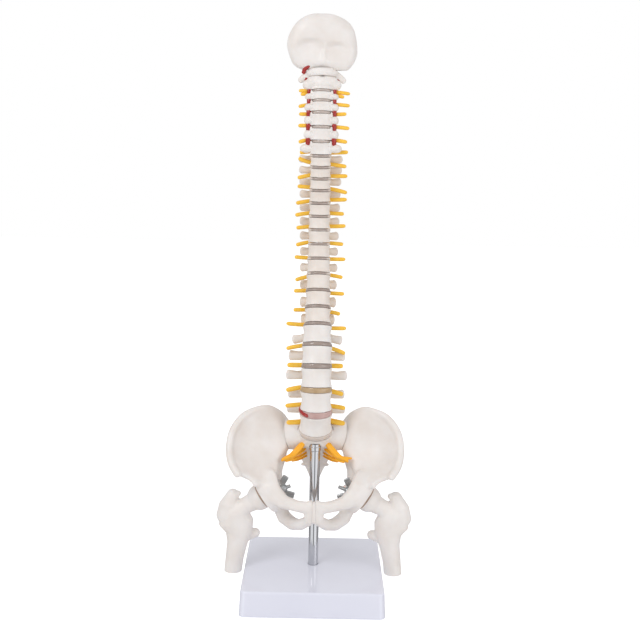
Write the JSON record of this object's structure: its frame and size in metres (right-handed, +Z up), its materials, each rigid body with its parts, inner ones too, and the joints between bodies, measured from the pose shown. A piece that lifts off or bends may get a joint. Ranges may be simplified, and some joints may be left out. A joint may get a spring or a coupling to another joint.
{
  "type": "half-size human spine anatomy model on a stand",
  "caption": "Half-size human spine anatomy model with occipital bone, pelvis and femur stumps, on a steel rod and a square white base",
  "frame": {"origin": "centre of the base's underside", "axes": "+X to the model's right as seen from the front, +Y to the back, +Z up"},
  "size_m": [0.1561, 0.112, 0.4532],
  "materials": {
    "bone_pvc": "cast ivory-white PVC with a soft sheen",
    "base_plastic": "glossy bluish-white moulded plastic",
    "chromed_steel": "bright chromed steel rod",
    "zinc_plate": "dull zinc-plated steel",
    "disc_rubber": "soft grey-brown translucent rubber",
    "cartilage": "slightly darker soft pad"
  },
  "bodies": {
    "stand": {"base": "base_plastic", "stand_rod": "chromed_steel", "sacrum": "bone_pvc", "hip_bone_left": "bone_pvc", "hip_bone_right": "bone_pvc", "pubic_symphysis": "cartilage", "disc_S1_L5": "disc_rubber"},
    "L5_level": {"vertebra_L5": "bone_pvc", "disc_L5_L4": "disc_rubber"},
    "L4_level": {"vertebra_L4": "bone_pvc", "disc_L4_L3": "disc_rubber"},
    "L3_level": {"vertebra_L3": "bone_pvc", "disc_L3_L2": "disc_rubber"},
    "L2_level": {"vertebra_L2": "bone_pvc", "disc_L2_L1": "disc_rubber"},
    "L1_level": {"vertebra_L1": "bone_pvc", "disc_L1_T12": "disc_rubber"},
    "T12_level": {"vertebra_T12": "bone_pvc", "disc_T12_T11": "disc_rubber"},
    "T11_level": {"vertebra_T11": "bone_pvc", "disc_T11_T10": "disc_rubber"},
    "T10_level": {"vertebra_T10": "bone_pvc", "disc_T10_T9": "disc_rubber"},
    "T9_level": {"vertebra_T9": "bone_pvc", "disc_T9_T8": "disc_rubber"},
    "T8_level": {"vertebra_T8": "bone_pvc", "disc_T8_T7": "disc_rubber"},
    "T7_level": {"vertebra_T7": "bone_pvc", "disc_T7_T6": "disc_rubber"},
    "T6_level": {"vertebra_T6": "bone_pvc", "disc_T6_T5": "disc_rubber"},
    "T5_level": {"vertebra_T5": "bone_pvc", "disc_T5_T4": "disc_rubber"},
    "T4_level": {"vertebra_T4": "bone_pvc", "disc_T4_T3": "disc_rubber"},
    "T3_level": {"vertebra_T3": "bone_pvc", "disc_T3_T2": "disc_rubber"},
    "T2_level": {"vertebra_T2": "bone_pvc", "disc_T2_T1": "disc_rubber"},
    "T1_level": {"vertebra_T1": "bone_pvc", "disc_T1_C7": "disc_rubber"},
    "C7_level": {"vertebra_C7": "bone_pvc", "disc_C7_C6": "disc_rubber"},
    "C6_level": {"vertebra_C6": "bone_pvc", "disc_C6_C5": "disc_rubber"},
    "C5_level": {"vertebra_C5": "bone_pvc", "disc_C5_C4": "disc_rubber"},
    "C4_level": {"vertebra_C4": "bone_pvc", "disc_C4_C3": "disc_rubber"},
    "C3_level": {"vertebra_C3": "bone_pvc", "disc_C3_C2": "disc_rubber"},
    "C2_level": {"vertebra_C2": "bone_pvc"},
    "C1_level": {"vertebra_C1": "bone_pvc"},
    "occipital": {"occipital_bone": "bone_pvc"},
    "femur_left_body": {"femur_left": "bone_pvc", "hip_bolt_left": "zinc_plate"},
    "wing_nut_left_body": {"wing_nut_left": "zinc_plate"},
    "femur_right_body": {"femur_right": "bone_pvc", "hip_bolt_right": "zinc_plate"},
    "wing_nut_right_body": {"wing_nut_right": "zinc_plate"}
  },
  "joints": [
    {"name": "bend_sacrum_L5", "type": "hinge", "parent": "stand", "child": "L5_level", "pos_m": [0, 0.003, 0.1312], "axis": [0, 0.8572, 0.515], "range_deg": [-2, 2], "deforming": ["disc_S1_L5"]},
    {"name": "bend_L5_L4", "type": "hinge", "parent": "L5_level", "child": "L4_level", "pos_m": [0, -0.00333, 0.14858], "axis": [0, 0.9877, 0.1564], "range_deg": [-2, 2], "deforming": ["disc_L5_L4"]},
    {"name": "bend_L4_L3", "type": "hinge", "parent": "L4_level", "child": "L3_level", "pos_m": [0, -0.00396, 0.16672], "axis": [0, 0.9962, -0.0872], "range_deg": [-2, 2], "deforming": ["disc_L4_L3"]},
    {"name": "bend_L3_L2", "type": "hinge", "parent": "L3_level", "child": "L2_level", "pos_m": [0, -0.00118, 0.1843], "axis": [0, 0.9744, -0.225], "range_deg": [-2, 2], "deforming": ["disc_L3_L2"]},
    {"name": "bend_L2_L1", "type": "hinge", "parent": "L2_level", "child": "L1_level", "pos_m": [0, 0.0034, 0.20026], "axis": [0, 0.9455, -0.3256], "range_deg": [-2, 2], "deforming": ["disc_L2_L1"]},
    {"name": "bend_L1_T12", "type": "hinge", "parent": "L1_level", "child": "T12_level", "pos_m": [0, 0.00867, 0.21558], "axis": [0, 0.9455, -0.3256], "range_deg": [-2, 2], "deforming": ["disc_L1_T12"]},
    {"name": "bend_T12_T11", "type": "hinge", "parent": "T12_level", "child": "T11_level", "pos_m": [0, 0.0131, 0.22844], "axis": [0, 0.9455, -0.3256], "range_deg": [-2, 2], "deforming": ["disc_T12_T11"]},
    {"name": "bend_T11_T10", "type": "hinge", "parent": "T11_level", "child": "T10_level", "pos_m": [0, 0.01722, 0.2413], "axis": [0, 0.9588, -0.284], "range_deg": [-2, 2], "deforming": ["disc_T11_T10"]},
    {"name": "bend_T10_T9", "type": "hinge", "parent": "T10_level", "child": "T9_level", "pos_m": [0, 0.02074, 0.25422], "axis": [0, 0.9703, -0.2419], "range_deg": [-2, 2], "deforming": ["disc_T10_T9"]},
    {"name": "bend_T9_T8", "type": "hinge", "parent": "T9_level", "child": "T8_level", "pos_m": [0, 0.02328, 0.26616], "axis": [0, 0.9848, -0.1736], "range_deg": [-2, 2], "deforming": ["disc_T9_T8"]},
    {"name": "bend_T8_T7", "type": "hinge", "parent": "T8_level", "child": "T7_level", "pos_m": [0, 0.02491, 0.27779], "axis": [0, 0.9945, -0.1045], "range_deg": [-2, 2], "deforming": ["disc_T8_T7"]},
    {"name": "bend_T7_T6", "type": "hinge", "parent": "T7_level", "child": "T6_level", "pos_m": [0, 0.0258, 0.28906], "axis": [0, 0.9986, -0.0523], "range_deg": [-2, 2], "deforming": ["disc_T7_T6"]},
    {"name": "bend_T6_T5", "type": "hinge", "parent": "T6_level", "child": "T5_level", "pos_m": [0, 0.02608, 0.2999], "axis": [0, 1, 0], "range_deg": [-2, 2], "deforming": ["disc_T6_T5"]},
    {"name": "bend_T5_T4", "type": "hinge", "parent": "T5_level", "child": "T4_level", "pos_m": [0, 0.0259, 0.3103], "axis": [0, 0.9994, 0.0349], "range_deg": [-2, 2], "deforming": ["disc_T5_T4"]},
    {"name": "bend_T4_T3", "type": "hinge", "parent": "T4_level", "child": "T3_level", "pos_m": [0, 0.02537, 0.32039], "axis": [0, 0.9976, 0.0698], "range_deg": [-2, 2], "deforming": ["disc_T4_T3"]},
    {"name": "bend_T3_T2", "type": "hinge", "parent": "T3_level", "child": "T2_level", "pos_m": [0, 0.02461, 0.32956], "axis": [0, 0.9954, 0.0958], "range_deg": [-2, 2], "deforming": ["disc_T3_T2"]},
    {"name": "bend_T2_T1", "type": "hinge", "parent": "T2_level", "child": "T1_level", "pos_m": [0, 0.02364, 0.33845], "axis": [0, 0.9925, 0.1219], "range_deg": [-2, 2], "deforming": ["disc_T2_T1"]},
    {"name": "bend_T1_C7", "type": "hinge", "parent": "T1_level", "child": "C7_level", "pos_m": [0, 0.02273, 0.34711], "axis": [0, 0.9962, 0.0872], "range_deg": [-2, 2], "deforming": ["disc_T1_C7"]},
    {"name": "bend_C7_C6", "type": "hinge", "parent": "C7_level", "child": "C6_level", "pos_m": [0, 0.02216, 0.35789], "axis": [0, 0.9998, 0.0175], "range_deg": [-2, 2], "deforming": ["disc_C7_C6"]},
    {"name": "bend_C6_C5", "type": "hinge", "parent": "C6_level", "child": "C5_level", "pos_m": [0, 0.02235, 0.36869], "axis": [0, 0.9986, -0.0523], "range_deg": [-2, 2], "deforming": ["disc_C6_C5"]},
    {"name": "bend_C5_C4", "type": "hinge", "parent": "C5_level", "child": "C4_level", "pos_m": [0, 0.02339, 0.37944], "axis": [0, 0.9903, -0.1392], "range_deg": [-2, 2], "deforming": ["disc_C5_C4"]},
    {"name": "bend_C4_C3", "type": "hinge", "parent": "C4_level", "child": "C3_level", "pos_m": [0, 0.02501, 0.38819], "axis": [0, 0.9744, -0.225], "range_deg": [-2, 2], "deforming": ["disc_C4_C3"]},
    {"name": "bend_C3_C2", "type": "hinge", "parent": "C3_level", "child": "C2_level", "pos_m": [0, 0.02679, 0.39589], "axis": [0, 0.9744, -0.225], "range_deg": [-2, 2], "deforming": ["disc_C3_C2"]},
    {"name": "bend_C2_C1", "type": "hinge", "parent": "C2_level", "child": "C1_level", "pos_m": [0, 0.02903, 0.40666], "axis": [0, 0.9833, -0.1822], "range_deg": [-2, 2]},
    {"name": "bend_C1_occipital", "type": "hinge", "parent": "C1_level", "child": "occipital", "pos_m": [0, 0.02994, 0.41228], "axis": [0, 0.9903, -0.1392], "range_deg": [-2, 2]},
    {"name": "hip_swivel_left", "type": "hinge", "parent": "stand", "child": "femur_left_body", "pos_m": [-0.043, -0.009, 0.079], "axis": [0.9272, 0, 0.3746], "continuous": true},
    {"name": "wing_nut_turn_left", "type": "hinge", "parent": "femur_left_body", "child": "wing_nut_left_body", "pos_m": [-0.02863, -0.009, 0.08481], "axis": [-0.9272, 0, -0.3746], "continuous": true},
    {"name": "hip_swivel_right", "type": "hinge", "parent": "stand", "child": "femur_right_body", "pos_m": [0.043, -0.009, 0.079], "axis": [0.9272, 0, -0.3746], "continuous": true},
    {"name": "wing_nut_turn_right", "type": "hinge", "parent": "femur_right_body", "child": "wing_nut_right_body", "pos_m": [0.02863, -0.009, 0.08481], "axis": [0.9272, 0, -0.3746], "continuous": true}
  ],
  "couplings": [
    {"joint": "bend_L5_L4", "follows": "bend_sacrum_L5", "ratio": 1},
    {"joint": "bend_L4_L3", "follows": "bend_sacrum_L5", "ratio": 1},
    {"joint": "bend_L3_L2", "follows": "bend_sacrum_L5", "ratio": 1},
    {"joint": "bend_L2_L1", "follows": "bend_sacrum_L5", "ratio": 1},
    {"joint": "bend_L1_T12", "follows": "bend_sacrum_L5", "ratio": 1},
    {"joint": "bend_T12_T11", "follows": "bend_sacrum_L5", "ratio": 1},
    {"joint": "bend_T11_T10", "follows": "bend_sacrum_L5", "ratio": 1},
    {"joint": "bend_T10_T9", "follows": "bend_sacrum_L5", "ratio": 1},
    {"joint": "bend_T9_T8", "follows": "bend_sacrum_L5", "ratio": 1},
    {"joint": "bend_T8_T7", "follows": "bend_sacrum_L5", "ratio": 1},
    {"joint": "bend_T7_T6", "follows": "bend_sacrum_L5", "ratio": 1},
    {"joint": "bend_T6_T5", "follows": "bend_sacrum_L5", "ratio": 1},
    {"joint": "bend_T5_T4", "follows": "bend_sacrum_L5", "ratio": 1},
    {"joint": "bend_T4_T3", "follows": "bend_sacrum_L5", "ratio": 1},
    {"joint": "bend_T3_T2", "follows": "bend_sacrum_L5", "ratio": 1},
    {"joint": "bend_T2_T1", "follows": "bend_sacrum_L5", "ratio": 1},
    {"joint": "bend_C7_C6", "follows": "bend_T1_C7", "ratio": 1},
    {"joint": "bend_C6_C5", "follows": "bend_T1_C7", "ratio": 1},
    {"joint": "bend_C5_C4", "follows": "bend_T1_C7", "ratio": 1},
    {"joint": "bend_C4_C3", "follows": "bend_T1_C7", "ratio": 1},
    {"joint": "bend_C3_C2", "follows": "bend_T1_C7", "ratio": 1},
    {"joint": "bend_C1_occipital", "follows": "bend_C2_C1", "ratio": 1}
  ]
}
